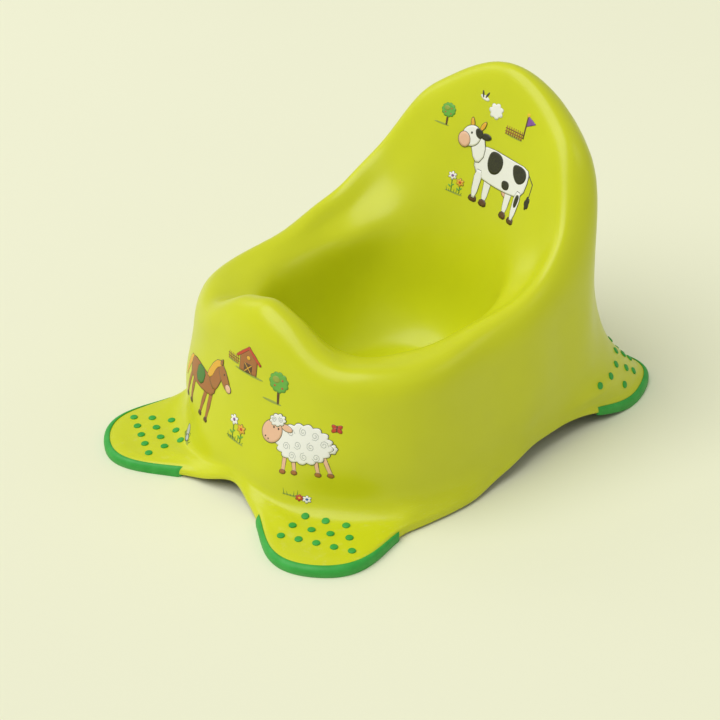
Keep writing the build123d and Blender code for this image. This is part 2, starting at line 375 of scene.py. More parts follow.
    def station_where(self, angle: float, value: float, measure: Measure, first: int, last: int) -> float:
        """The station between two guides where the skin comes nearest to a height or a reach.

        Args:
            angle: The angle to look along, in degrees.
            value: The height, or the reach from the axis.
            measure: Which of the two it is.
            first: The guide to look from.
            last: The guide to look to.

        Returns:
            The nearest station.
        """
        stations = np.linspace(first, last, self.look_up_steps)
        away = self.place(angle, stations) - self.axis
        seen = away[:, 2] if measure is Measure.height else np.hypot(away[:, 0], away[:, 1])
        return float(stations[np.argmin(np.abs(seen - value))])


# ---------------------------------------------------------------------------------------------- meshes


@dataclass
class Draft:
    """Vertices, faces and inks of a piece, gathered one closed form at a time."""

    vertices: list[np.ndarray] = field(default_factory=list)
    faces: list[tuple[int, ...]] = field(default_factory=list)
    inks: list[np.ndarray] = field(default_factory=list)
    count: int = 0

    def add(self, points: np.ndarray, faces: Iterable[Sequence[int]], ink: Colour = PLAIN) -> None:
        """Adds points and the faces between them, which count from the first of these points.

        Args:
            points: Points, x y z last.
            faces: Corner numbers of each face.
            ink: The colour that all of them carry.
        """
        flat = points.reshape(-1, 3)
        self.vertices.append(flat)
        self.inks.append(np.tile(ink, (len(flat), 1)))
        self.faces.extend(tuple(int(i) + self.count for i in face) for face in faces)
        self.count += len(flat)

    def piece(self, name: str, node_slot: str, replaced: str | None = None) -> bpy.types.Object:
        """Makes the finished object, in metres, smooth, riding on the frame.

        Args:
            name: The piece's name.
            node_slot: The record's material slot. Not used.
            replaced: The solid that it stands for, if any.

        Returns:
            The new object.
        """
        mesh = bpy.data.meshes.new(name)
        mesh.from_pydata((np.concatenate(self.vertices) * MM).tolist(), [], self.faces)
        inks = mesh.attributes.new("ink", "FLOAT_COLOR", "POINT")
        inks.data.foreach_set("color", np.concatenate(self.inks).ravel())
        mesh.polygons.foreach_set("use_smooth", np.ones(len(mesh.polygons), bool))
        mesh.update()
        thing = bpy.data.objects.new(name, mesh)
        bpy.context.scene.collection.objects.link(thing)
        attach(thing, "root")
        if replaced:
            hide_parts(replaced)
        LOG.info("%s: %d faces", name, len(mesh.polygons))
        return thing


def ring_faces(rows: int, columns: int) -> np.ndarray:
    """Four-sided faces of rows of closed rings: from a point to the next row, both, and the next column.

    Args:
        rows: How many rings.
        columns: How many points each has.

    Returns:
        Corner numbers, one row for each face.
    """
    row, column = np.arange(rows - 1)[:, None], np.arange(columns)[None, :]
    down, over = row + 1, (column + 1) % columns
    corners = [row * columns + column, down * columns + column, down * columns + over, row * columns + over]
    return np.stack(np.broadcast_arrays(*corners), -1).reshape(-1, 4)


def tube(draft: Draft, loops: np.ndarray) -> None:
    """A closed form from a row of closed loops, with a flat face on its first and last loop.

    Args:
        draft: Where it goes.
        loops: The loops, one after another, x y z last.
    """
    count, length = loops.shape[:2]
    faces = [*ring_faces(count, length)]
    faces.append(np.arange(length))
    faces.append((count - 1) * length + np.arange(length)[::-1])
    draft.add(loops, faces)


def capped(draft: Draft, rings: np.ndarray, poles: Sequence[np.ndarray], ink: Colour = PLAIN) -> None:
    """A closed form from a row of rings, closed to a pole before the first and to another past the last.

    Args:
        draft: Where it goes.
        rings: The rings, one after another, x y z last.
        poles: The first pole and the last.
        ink: The colour of the form.
    """
    count, length = rings.shape[:2]
    here = np.arange(length)
    after = (here + 1) % length
    start, end = count * length, count * length + 1
    far = (count - 1) * length
    faces = [
        *ring_faces(count, length),
        *np.stack([np.full(length, start), here, after], -1),
        *np.stack([far + here, np.full(length, end), far + after], -1),
    ]
    draft.add(np.concatenate([rings.reshape(-1, 3), np.array(poles)]), faces, ink)


# -------------------------------------------------------------------------------------------- finishes


class Wire:
    """A shader socket that takes part in sums, so that the maths of a finish reads as a formula."""

    def __init__(self, tree: bpy.types.NodeTree, socket: bpy.types.NodeSocket) -> None:
        """Wraps one output socket of a node tree."""
        self.tree, self.socket = tree, socket

    def math(self, kind: str, first: Any, second: Any = 0.0, clamp: bool = False) -> Wire:
        """A Math node of this kind on two values or wires."""
        settings = {"operation": kind, "use_clamp": clamp}
        return Graph(self.tree).node("ShaderNodeMath", settings, {0: first, 1: second})

    def __add__(self, other: Any) -> Wire:
        """Sum."""
        return self.math("ADD", self, other)

    def __radd__(self, other: Any) -> Wire:
        """Sum."""
        return self.math("ADD", other, self)

    def __sub__(self, other: Any) -> Wire:
        """Difference."""
        return self.math("SUBTRACT", self, other)

    def __rsub__(self, other: Any) -> Wire:
        """Difference, the other way round."""
        return self.math("SUBTRACT", other, self)

    def __mul__(self, other: Any) -> Wire:
        """Product."""
        return self.math("MULTIPLY", self, other)

    def __rmul__(self, other: Any) -> Wire:
        """Product."""
        return self.math("MULTIPLY", other, self)

    def between(self, low: float, high: float) -> Wire:
        """How far the value is from low to high, as 0 to 1."""
        return self.math("MULTIPLY", self - low, 1 / (high - low), clamp=True)


@dataclass
class Graph:
    """The nodes of one material."""

    tree: bpy.types.NodeTree
    colour_sockets: tuple[int, int] = (6, 7)
    colour_output: int = 2

    def node(self, kind: str, settings: dict[str, Any], inputs: dict[Any, Any], output: Any = 0) -> Wire:
        """Adds a node.

        Args:
            kind: The node's type.
            settings: Its settings, set first.
            inputs: Values or wires for its sockets, by name or number.
            output: Which of its outputs to return.

        Returns:
            The output as a wire.
        """
        made = self.tree.nodes.new(kind)
        for name, value in settings.items():
            setattr(made, name, value)
        for name, value in inputs.items():
            if isinstance(value, Wire):
                self.tree.links.new(value.socket, made.inputs[name])
            else:
                made.inputs[name].default_value = value
        return Wire(self.tree, made.outputs[output])

    def noise(self, place: Wire, scale: float, detail: float = 2.0, rough: float = 0.5) -> Wire:
        """Cloudy noise, in sizes of one over the scale in metres."""
        sockets = {"Vector": place, "Scale": scale, "Detail": detail, "Roughness": rough}
        return self.node("ShaderNodeTexNoise", {}, sockets)

    def mixed(self, share: Any, first: Any, second: Any) -> Wire:
        """Two colours mixed by a share, through the Mix node's colour sockets."""
        sockets = {"Factor": share, self.colour_sockets[0]: first, self.colour_sockets[1]: second}
        return self.node("ShaderNodeMix", {"data_type": "RGBA"}, sockets, self.colour_output)

    def bump(self, height: Wire, strength: float, distance: float, below: Wire | None = None) -> Wire:
        """A bump of a strength and a distance in metres, on top of another one if there is one."""
        sockets = {"Strength": strength, "Distance": distance, "Height": height}
        return self.node("ShaderNodeBump", {}, sockets | ({"Normal": below} if below else {}))


@dataclass(frozen=True)
class Finish:
    """What every finish of this potty shares: a shader built from the place on the object."""

    name: str
    colour: Colour
    roughness: float

    def material(self) -> bpy.types.Material:
        """The finish as a new material.

        Returns:
            The material.
        """
        made = bpy.data.materials.new(self.name)
        made.use_nodes = True
        made.node_tree.nodes.clear()
        graph = Graph(made.node_tree)
        place = graph.node("ShaderNodeTexCoord", {}, {}, "Object")
        surface = graph.node("ShaderNodeBsdfPrincipled", {}, self.sockets(graph, place))
        output = made.node_tree.nodes.new("ShaderNodeOutputMaterial")
        made.node_tree.links.new(surface.socket, output.inputs["Surface"])
        return made

    def sockets(self, graph: Graph, place: Wire) -> dict[str, Any]:
        """The shader's sockets, each a value or a wire."""
        raise NotImplementedError

    def dress(self, *pieces: bpy.types.Object) -> None:
        """Puts this finish on pieces."""
        made = self.material()
        for piece in pieces:
            piece.data.materials.clear()
            piece.data.materials.append(made)


@dataclass(frozen=True)
class MouldedPlastic(Finish):
    """Glossy moulded polypropylene: even colour with faint flow clouds, fine grain, scuffs near the floor."""

    cloud: Colour = (0.555, 0.59, 0.013, 1)
    scuff: Colour = (0.72, 0.74, 0.3, 1)
    cloud_scale: float = 14.0
    flow_scale: float = 55.0
    smudge_scale: float = 30.0
    grain_scale: float = 2600.0
    wave_scale: float = 22.0
    scratch_scale: float = 160.0
    scuff_height: float = 0.03

    def sockets(self, graph: Graph, place: Wire) -> dict[str, Any]:
        """Clouds and scuffs in the colour, smudges in the gloss, and grain and mould waves in the bump.

        Args:
            graph: The material's nodes.
            place: The place on the object, in metres.

        Returns:
            Values and wires by the shader's socket names.
        """
        clouds = graph.noise(place, self.cloud_scale, 3.0)
        flow = graph.noise(place, self.flow_scale, 2.0)
        smudge = graph.noise(place, self.smudge_scale, 5.0, 0.65)
        grain = graph.noise(place, self.grain_scale, 2.0, 0.6)
        waves = graph.noise(place, self.wave_scale, 1.0)
        height = graph.node("ShaderNodeSeparateXYZ", {}, {"Vector": place}, 2)
        stretched = graph.node("ShaderNodeVectorMath", {"operation": "MULTIPLY"}, {0: place, 1: (1, 1, 9)})
        scratches = graph.noise(stretched, self.scratch_scale, 3.0, 0.7)
        low = 1 - height.between(0.0, self.scuff_height)
        worn = low * scratches.between(0.56, 0.72)
        cloudy = clouds.between(0.35, 0.75) * 0.35 + flow.between(0.4, 0.7) * 0.08
        base = graph.mixed(cloudy, self.colour, self.cloud)
        bump = graph.bump(waves, 0.1, 0.004, graph.bump(grain, 0.05, 0.0002))
        return {
            "Base Color": graph.mixed(worn * 0.22, base, self.scuff),
            "Roughness": self.roughness + smudge.between(0.3, 0.8) * 0.09 + worn * 0.25,
            "Normal": bump,
            "Coat Weight": 0.18 - smudge.between(0.45, 0.8) * 0.1,
            "Coat Roughness": 0.2,
            "Specular IOR Level": 0.36,
            "Subsurface Weight": 0.12,
            "Subsurface Radius": (0.006, 0.005, 0.0015),
            "Subsurface Scale": 1.0,
            "IOR": 1.49,
        }


@dataclass(frozen=True)
class SoftRubber(Finish):
    """Satin rubber: a fine matt grain, paler where feet and cloths polish it, dusty near the floor."""

    worn: Colour = (0.07, 0.5, 0.09, 1)
    dust: Colour = (0.3, 0.42, 0.24, 1)
    mottle_scale: float = 90.0
    grain_scale: float = 3400.0
    polish_scale: float = 40.0
    dust_height: float = 0.003

    def sockets(self, graph: Graph, place: Wire) -> dict[str, Any]:
        """Mottling and dust in the colour, polish in the gloss, and grain in the bump.

        Args:
            graph: The material's nodes.
            place: The place on the object, in metres.

        Returns:
            Values and wires by the shader's socket names.
        """
        mottle = graph.noise(place, self.mottle_scale, 3.0)
        grain = graph.noise(place, self.grain_scale, 2.0, 0.7)
        polish = graph.noise(place, self.polish_scale, 4.0, 0.6)
        height = graph.node("ShaderNodeSeparateXYZ", {}, {"Vector": place}, 2)
        low = (1 - height.between(0.0, self.dust_height)) * polish.between(0.4, 0.7)
        base = graph.mixed(mottle.between(0.3, 0.75) * 0.5, self.colour, self.worn)
        return {
            "Base Color": graph.mixed(low * 0.35, base, self.dust),
            "Roughness": self.roughness - polish.between(0.45, 0.8) * 0.14 + low * 0.2,
            "Normal": graph.bump(grain, 0.18, 0.0002),
            "Specular IOR Level": 0.45,
        }


@dataclass(frozen=True)
class PrintInk(Finish):
    """Printed ink: the piece's own ink colours, slightly uneven, with the dots of a screen print."""

    mottle_scale: float = 700.0
    dot_scale: float = 1600.0

    def sockets(self, graph: Graph, place: Wire) -> dict[str, Any]:
        """The ink attribute, mottled a little, over a satin gloss.

        Args:
            graph: The material's nodes.
            place: The place on the object, in metres.

        Returns:
            Values and wires by the shader's socket names.
        """
        ink = graph.node("ShaderNodeAttribute", {"attribute_name": "ink"}, {}, "Color")
        mottle = graph.noise(place, self.mottle_scale, 3.0, 0.6)
        dots = graph.node("ShaderNodeTexVoronoi", {}, {"Vector": place, "Scale": self.dot_scale}, 0)
        thin = mottle.between(0.4, 0.8) * 0.05 + dots.between(0.25, 0.6) * 0.03
        return {
            "Base Color": graph.mixed(thin, ink, self.colour),
            "Roughness": self.roughness + mottle.between(0.3, 0.7) * 0.08,
            "Normal": graph.bump(mottle, 0.06, 0.0002),
        }


@dataclass(frozen=True)
class PaleFloor(Finish):
    """The plain pale floor, with hardly visible clouds."""

    cloud_scale: float = 3.0
    cloud_share: float = 0.985

    def sockets(self, graph: Graph, place: Wire) -> dict[str, Any]:
        """One pale colour with a trace of variation.

        Args:
            graph: The material's nodes.
            place: The place on the object, in metres.

        Returns:
            Values and wires by the shader's socket names.
        """
        clouds = graph.noise(place, self.cloud_scale, 2.0)
        darker = tuple(self.cloud_share * part for part in self.colour[:3]) + (1.0,)
        return {"Base Color": graph.mixed(clouds, self.colour, darker), "Roughness": self.roughness}


# -------------------------------------------------------------------------------------- sub-assemblies


@dataclass
class Shell:
    """The one-piece shell: bowl, seat, backrest, skirt and feet, with its wall, rolled lip and gate boss."""

    skin: Skin
    columns: int = 360
    outer_rows: int = 122
    inner_rows: int = 92
    lip_steps: int = 8
    gate_radius: float = 26.0
    gate_rise: float = 0.4
    first_station: float = 1.0
    last_station: float = 18.68

    def build(self) -> bpy.types.Object:
        """Makes the shell as one closed sheet of rings: boss, outer skin, lip, inner skin, boss underneath.

        The lip is half a circle as wide as the wall, swung from the skin's normal through its tangent.

        Returns:
            The shell's object.
        """
        skin, wall = self.skin, self.skin.wall
        angle = np.arange(self.columns)[None, :] * 360 / self.columns
        outer = skin.place(angle, self.stations(self.outer_rows)[:, None])
        inner = skin.place(angle, self.stations(self.inner_rows)[::-1, None], wall)
        end = skin.place(angle, self.last_station, wall / 2)
        normal = skin.read(skin.normal, angle, self.last_station)
        tangent = skin.place(angle, self.last_station) - skin.place(angle, self.last_station - 0.1)
        tangent /= np.linalg.norm(tangent, axis=-1, keepdims=True)
        swing = (np.arange(1, self.lip_steps) * math.pi / self.lip_steps)[:, None, None]
        lip = end + wall / 2 * (np.cos(swing) * normal + np.sin(swing) * tangent)
        top, under = self.boss(angle, skin.floor, 1), self.boss(angle, skin.floor - wall, -1)
        draft = Draft()
        heights = (skin.floor + self.gate_rise, skin.floor - wall - self.gate_rise)
        poles = [skin.axis + np.array([0, 0, height]) for height in heights]
        capped(draft, np.concatenate([top, outer, lip, inner, under[::-1]]), poles)
        return draft.piece("potty_body", "body_plastic", "potty_shell")

    def stations(self, rows: int) -> np.ndarray:
        """Even stations for a number of rings."""
        share = np.linspace(0, 1, rows)
        return self.first_station + (self.last_station - self.first_station) * share

    def boss(self, angle: np.ndarray, height: float, up: int) -> np.ndarray:
        """Rings of the round gate boss, from its middle out to its rounded foot on the bowl's floor.

        Args:
            angle: Angles round the axis, in degrees.
            height: Height of the floor it stands on.
            up: 1 where it rises from the floor, -1 where it hangs below.

        Returns:
            The rings' places.
        """
        profile = [(0.5, 1.0), (0.9, 1.0), (0.985, 0.95), (1.0, 0.7), (1.004, 0.25), (1.02, 0.0)]
        turn = np.radians(angle[0])
        out = np.array([reach for reach, _ in profile])[:, None] * self.gate_radius
        rise = height + up * self.gate_rise * np.array([lift for _, lift in profile])[:, None]
        parts = np.broadcast_arrays(out * np.sin(turn), -out * np.cos(turn), rise)
        return np.stack(parts, -1) + self.skin.axis


class Side(Enum):
    """Left and right, as the sign of x."""

    left = 1
    right = -1


class End(Enum):
    """The end of the potty that a foot is at."""

    front = "front"
    rear = "rear"


@dataclass
class Foot:
    """Which foot a rubber piece belongs to, and the skin that the piece lies on."""

    skin: Skin
    end: End
    side: Side

    def piece(self, draft: Draft, name: str, node: str) -> bpy.types.Object:
        """Makes a rubber piece of this foot, which stands for the foot's own solid."""
        foot = f"{self.end.name}_{self.side.name}"
        return draft.piece(f"{foot}_{name}", "soft_grip", f"{foot}_{node}")


@dataclass
class EdgeGrip(Foot):
    """The rubber bead round one foot's lip: over the top, down to the floor and up inside."""

    first: float
    last: float
    top_station: float
    steps: int = 110
    top_steps: int = 18
    proud: float = 1.3
    gap: float = 0.1
    inner: float = 1.0
    corner: float = 0.5
    taper: float = 2.2
    shoulder: float = 0.45
    least: float = 0.12
    skim: float = 0.05
    inner_drop: float = 0.5
    inner_step: float = 0.3

    def build(self) -> bpy.types.Object:
        """Makes the grip as a tube of U-shaped sections, rounded down to nothing over its last millimetres.

        Returns:
            The grip's object.
        """
        angle = np.linspace(self.first, self.last, self.steps)
        middle_reach = self.skin.reach[-1, int(angle.mean() * (self.skin.columns // 360))]
        away = np.minimum(angle - self.first, self.last - angle) * math.radians(1) * middle_reach
        full = np.maximum(rounded(away / self.taper), self.least)
        angle = angle[:, None]
        station = np.linspace(self.top_station, Station.edge, self.top_steps)[None, :]
        swell = rounded((station - self.top_station) / self.shoulder + self.least)
        rise = self.proud * swell * full[:, None]
        outer = self.skin.place(angle, station, -np.maximum(rise, self.gap + self.skim))
        lining = self.skin.place(angle, station[:, ::-1], -self.gap)
        wall = self.skin.wall + self.gap
        inside = self.skin.place(angle, np.linspace(Station.lip, Station.edge, 3)[None, :], wall)
        foot = self.below(outer[:, -1], inside, lining[:, 0], full)
        loops = np.concatenate([outer, foot, lining], 1)
        loops[..., 0] *= self.side.value
        draft = Draft()
        tube(draft, loops if self.side is Side.right else loops[:, ::-1])
        return self.piece(draft, "rubber_edge", "edge_grip")

    def below(
        self, outside: np.ndarray, inside: np.ndarray, lining: np.ndarray, full: np.ndarray
    ) -> np.ndarray:
        """The part of each section below the lip: floor face with two rounded corners, inner face, slot.

        Args:
            outside: The last outer point of each section.
            inside: Three points of each section on the shell's inner skin, from the lip to its edge.
            lining: The lowest point of each section's lining.
            full: How full each section is.

        Returns:
            Points of each section, from the outer corner down, in and up to the lining.
        """
        flat = outside - self.skin.axis
        out_reach = np.hypot(flat[:, 0], flat[:, 1])
        outward = flat * [1, 1, 0] / out_reach[:, None]
        wall = inside - self.skin.axis
        in_reach = np.hypot(wall[:, -1, 0], wall[:, -1, 1]) - self.inner * full
        lift = np.maximum(outside[:, 2] - self.skin.lip, 0)
        turn = np.radians([0, 30, 60, 90])

        def at(reach: np.ndarray, height: np.ndarray) -> np.ndarray:
            """Places at a reach from the axis and a height, one for each section."""
            return self.skin.axis + outward * reach[:, None] + np.array([0, 0, 1]) * height[:, None]

        corner = self.corner
        cut, rise = corner * (1 - np.cos(turn)), corner * (1 - np.sin(turn))
        outer_corner = [at(out_reach - c, lift + r) for c, r in zip(cut, rise)]
        inner_corner = [at(in_reach + r, lift + c) for c, r in zip(cut, rise)]
        top = [at(in_reach, wall[:, 0, 2] - self.inner_drop), at(in_reach + self.inner_step, wall[:, 0, 2])]
        slot = [inside[:, 0], inside[:, 1], inside[:, 2] - [0, 0, self.gap], lining - [0, 0, self.gap]]
        return np.stack(outer_corner + inner_corner + top + slot, 1)


@dataclass
class StudMat(Foot):
    """One foot's stud mat: twelve domed studs that stand through the pad, and the web below them."""

    foot: float
    reaches: tuple[float, float, float]
    pitches: tuple[float, float, float]
    angles: tuple[float, float]
    stations: tuple[float, float]
    row_turn: float = 6.0
    row_angles: tuple[float, float, float] = (143.9, 148.75, 152.2)
    row_bend: float = 0.065
    rows: tuple[int, int, int] = (5, 4, 3)
    diameter: float = 6.0
    rise: float = 1.1
    edge_round: float = 0.8
    dome: float = 0.12
    dome_fall: float = 0.02
    dome_share: float = 0.4
    thickness: float = 1.0
    gap: float = 0.1
    sides: int = 32

    def stud_places(self) -> list[tuple[float, float]]:
        """The angle and station of each stud, row by row.

        Returns:
            Angle and station of each stud.
        """
        rows = self.straight_rows() if self.end is End.front else self.bent_rows()
        look_up = self.skin.station_where
        return [(a, look_up(a, reach, Measure.reach, Station.wall_low, Station.lip)) for a, reach in rows]

    def straight_rows(self) -> list[tuple[float, float]]:
        """Angles and reaches of studs in straight rows across the foot, each row turned a little.

        Returns:
            Angle and reach of each stud.
        """
        places = []
        row_turn = math.radians(self.row_turn)
        for count, reach, pitch in zip(self.rows, self.reaches, self.pitches):
            for across in (np.arange(count) - (count - 1) / 2) * pitch:
                out, side = reach + across * math.sin(row_turn), across * math.cos(row_turn)
                places.append((self.foot + math.degrees(math.atan2(side, out)), math.hypot(side, out)))
        return places

    def bent_rows(self) -> list[tuple[float, float]]:
        """Angles and reaches of studs in rows that bend round the foot's tip.

        A reach falls by the bend times the square of the angle from the tip.

        Returns:
            Angle and reach of each stud.
        """
        places = []
        for count, middle, reach, pitch in zip(self.rows, self.row_angles, self.reaches, self.pitches):
            for angle in middle + (np.arange(count) - (count - 1) / 2) * pitch:
                places.append((float(angle), reach - self.row_bend * (angle - self.foot) ** 2))
        return places

    def build(self) -> bpy.types.Object:
        """Makes the mat. A stud is a turned profile: root, straight side, quarter-round edge, domed top.

        Returns:
            The mat's object.
        """
        draft = Draft()
        radius, root = self.diameter / 2, self.skin.wall + self.thickness / 2
        turn = np.radians(np.linspace(0, 90, 6))
        crown = self.rise + self.dome
        edge_out = radius - self.edge_round * (1 - np.cos(turn))
        edge_up = self.rise - self.edge_round * (1 - np.sin(turn))
        out = np.concatenate([[radius, radius], edge_out, [radius * self.dome_share]])
        up = np.concatenate([[-root, 0], edge_up, [crown - self.dome_fall]])
        around = np.arange(self.sides) * 2 * math.pi / self.sides
        for angle, station in self.stud_places():
            centre = self.skin.place(angle, station)
            normal = self.skin.read(self.skin.normal, angle, station)
            first = np.cross(normal, [0, 1, 0])
            first /= np.linalg.norm(first)
            second = np.cross(normal, first)
            ring = np.cos(around)[:, None] * first + np.sin(around)[:, None] * second
            rings = centre + out[:, None, None] * ring[None] + up[:, None, None] * normal
            self.add(draft, rings, centre - root * normal, centre + crown * normal)
        angle = np.linspace(*self.angles, 60)[:, None]
        station = np.linspace(*self.stations, 24)[None, :]
        upper = self.skin.place(angle, station, self.skin.wall + self.gap)
        lower = self.skin.place(angle, station[:, ::-1], self.skin.wall + self.thickness)
        web = np.concatenate([upper, lower], 1)
        web[..., 0] *= self.side.value
        tube(draft, web[:, ::-1] if self.side is Side.left else web)
        return self.piece(draft, "rubber_studs", "stud_mat")

    def add(self, draft: Draft, rings: np.ndarray, bottom: np.ndarray, top: np.ndarray) -> None:
        """Adds one stud, mirrored for the right side, with its faces outward.

        Args:
            draft: Where it goes.
            rings: The stud's rings on the left side.
            bottom: Its lower pole there.
            top: Its upper pole there.
        """
        flip = np.array([self.side.value, 1, 1])
        rings = rings[:, ::-1] if self.side is Side.right else rings
        capped(draft, (rings * flip)[:, ::-1], [bottom * flip, top * flip])


# ---------------------------------------------------------------------------------------------- prints


OVAL_SIDES = 28
SCALLOP_SIDES = 8
PATCH_SIDES = 24
TIP_SIDES = 7
STROKE_STEP = 1.5
LEAST_REACH = 0.8


class Ink(Enum):
    """The inks of the printed pictures, as linear colours."""

    white = (0.87, 0.87, 0.82, 1.0)
    wool = (0.8, 0.81, 0.76, 1.0)
    shade = (0.5, 0.53, 0.5, 1.0)
    line = (0.05, 0.045, 0.03, 1.0)
    black = (0.012, 0.011, 0.008, 1.0)
    skin = (0.83, 0.5, 0.33, 1.0)
    brown = (0.38, 0.13, 0.03, 1.0)
    dark_brown = (0.1, 0.035, 0.012, 1.0)
    mane = (0.8, 0.42, 0.03, 1.0)
    leaf = (0.12, 0.42, 0.05, 1.0)
    leaf_dark = (0.05, 0.2, 0.03, 1.0)
    yellow = (0.86, 0.56, 0.02, 1.0)
    red = (0.55, 0.04, 0.02, 1.0)
    violet = (0.22, 0.07, 0.36, 1.0)
    blue = (0.04, 0.12, 0.4, 1.0)
    moss = (0.3, 0.38, 0.05, 1.0)


@dataclass(frozen=True)
class Blob:
    """One flat inked form of a picture: an outline round a middle that sees all of it.

    A level form is printed at the height of the one before it.
    """

    outline: np.ndarray
    ink: Ink
    middle: np.ndarray
    level: bool = False


def oval(
    x: float, y: float, rx: float, ry: float, ink: Ink, turn: float = 0, scallops: int = 0, depth: float = 0.1
) -> Blob:
    """An ellipse, turned, with its radius swelling and sinking round it where it has scallops.

    Args:
        x: Middle, to the right.
        y: Middle, upward.
        rx: Half width.
        ry: Half height.
        ink: Its ink.
        turn: Turn to the left, in degrees.
        scallops: How many rounded lobes its edge has.
        depth: How deep they are, as a share of the radius.

    Returns:
        The inked form.
    """
    count = max(OVAL_SIDES, scallops * SCALLOP_SIDES)
    around = np.arange(count) * 2 * math.pi / count
    swell = 1 - depth + depth * 2 * np.abs(np.sin(around * scallops / 2)) if scallops else 1.0
    local = np.stack([rx * np.cos(around) * swell, ry * np.sin(around) * swell], -1)
    c, s = math.cos(math.radians(turn)), math.sin(math.radians(turn))
    centre = np.array([x, y], float)
    return Blob(local @ np.array([[c, s], [-s, c]]) + centre, ink, centre)


def patch(corners: Sequence[tuple[float, float]], ink: Ink, softness: int = 2) -> Blob:
    """A form drawn by its corners, each cut and cut again so that it rounds.

    Args:
        corners: Corners, right and up.
        ink: Its ink.
        softness: How many times its corners are cut.

    Returns:
        The inked form.
    """
    outline = np.array(corners, float)
    for _ in range(softness):
        after = np.roll(outline, -1, 0)
        outline = np.stack([0.75 * outline + 0.25 * after, 0.25 * outline + 0.75 * after], 1).reshape(-1, 2)
    steps = max(1, int(PATCH_SIDES / len(outline)))
    share = (np.arange(steps) / steps)[None, :, None]
    outline = (outline[:, None] * (1 - share) + np.roll(outline, -1, 0)[:, None] * share).reshape(-1, 2)
    return Blob(outline, ink, outline.mean(0))


def stroke(x0: float, y0: float, x1: float, y1: float, width: float, ink: Ink, tip: float = 1.0) -> Blob:
    """A straight stroke with rounded ends, its far end a share of its width.

    Args:
        x0: Near end, to the right.
        y0: Near end, upward.
        x1: Far end, to the right.
        y1: Far end, upward.
        width: Width of the near end.
        ink: Its ink.
        tip: Width of the far end, as a share.

    Returns:
        The inked form.
    """
    run, side = np.array([x1 - x0, y1 - y0]), width / 2
    length = float(np.hypot(*run))
    along, across = run / length, np.array([-run[1], run[0]]) / length
    half = np.radians(np.linspace(-90, 90, TIP_SIDES))[:, None]
    far = np.array([x1, y1]) + side * tip * (np.cos(half) * along + np.sin(half) * across)
    near = np.array([x0, y0]) - side * (np.cos(half) * along + np.sin(half) * across)
    share = np.linspace(0, 1, max(3, int(length / STROKE_STEP)))[1:-1, None]
    left = far[-1] * (1 - share) + near[0] * share
    right = near[-1] * (1 - share) + far[0] * share
    return Blob(np.concatenate([far, left, near, right]), ink, np.array([x0 + x1, y0 + y1]) / 2)


def lined(blob: Blob, width: float = 0.45, ink: Ink = Ink.line) -> list[Blob]:
    """A form with a drawn line round it: a larger dark one under it.

    Args:
        blob: The form.
        width: Width of the line.
        ink: Ink of the line.

    Returns:
        The line's form, then the form itself.
    """
    away = blob.outline - blob.middle
    reach = np.linalg.norm(away, axis=1, keepdims=True)
    return [Blob(blob.middle + away * (1 + width / np.maximum(reach, LEAST_REACH)), ink, blob.middle), blob]


def outlined(blobs: Sequence[Blob], width: float = 0.45, ink: Ink = Ink.line) -> list[Blob]:
    """Several forms, each with a drawn line round it."""
    return [part for blob in blobs for part in lined(blob, width, ink)]


def flower(x: float, y: float, radius: float, petals: Ink, heart: Ink, stem: float) -> list[Blob]:
    """A flower on a stem with two leaves: a scalloped head with a round heart.

    Args:
        x: Middle of the head, to the right.
        y: Middle of the head, upward.
        radius: Radius of the head.
        petals: Ink of the petals.
        heart: Ink of the heart.
        stem: Length of the stem.

    Returns:
        The picture's forms, back to front.
    """
    return [
        stroke(x, y, x + 0.06 * stem, y - stem, 0.8, Ink.leaf_dark),
        oval(x + 1.5, y - 0.6 * stem, 1.7, 0.7, Ink.leaf, 40),
        oval(x - 1.5, y - 0.7 * stem, 1.7, 0.7, Ink.leaf, 140),
        *lined(oval(x, y, radius, radius, petals, 0, 6, 0.28), 0.3),
        oval(x, y, radius * 0.4, radius * 0.4, heart),
    ]


def grass(x: float, y: float, width: float, height: float) -> list[Blob]:
    """A tuft of grass on a flat shadow: fanned tapering blades.

    Args:
        x: Middle, to the right.
        y: Foot, upward.
        width: Width of the tuft.
        height: Height of its tallest blade.

    Returns:
        The picture's forms, back to front.
    """
    blades = []
    for i in range(7):
        out, tall = width * (i / 6 - 0.5), height * (0.6 + 0.4 * math.cos(1.7 * i))
        blades.append(stroke(x + out, y, x + out * 1.15, y + tall, 0.7, Ink.leaf_dark, 0.2))
    return [oval(x, y - 0.4, width * 0.62, 0.9, Ink.moss, -6), *blades]


def curls(places: Sequence[tuple[float, float]], radius: float) -> list[Blob]:
    """Curls of wool, all at one height: each a spiral of short strokes that winds in to its middle.

    Its reach falls evenly with the angle, over a little more than one and a half turns.

    Args:
        places: Middle of each curl.
        radius: Radius of each.

    Returns:
        The strokes, the first one raised, the rest level with it.
    """
    wind, reach = np.linspace(0, 3.2 * math.pi, 13), radius * np.linspace(1, 0.2, 13)
    strokes = []
    for number, (x, y) in enumerate(places):
        across, up = x + reach * np.cos(wind + 2 * number), y + reach * np.sin(wind + 2 * number)
        for x0, y0, x1, y1 in zip(across[:-1], up[:-1], across[1:], up[1:]):
            strokes.append(stroke(x0, y0, x1, y1, 0.55, Ink.shade))
    return [Blob(part.outline, part.ink, part.middle, order > 0) for order, part in enumerate(strokes)]


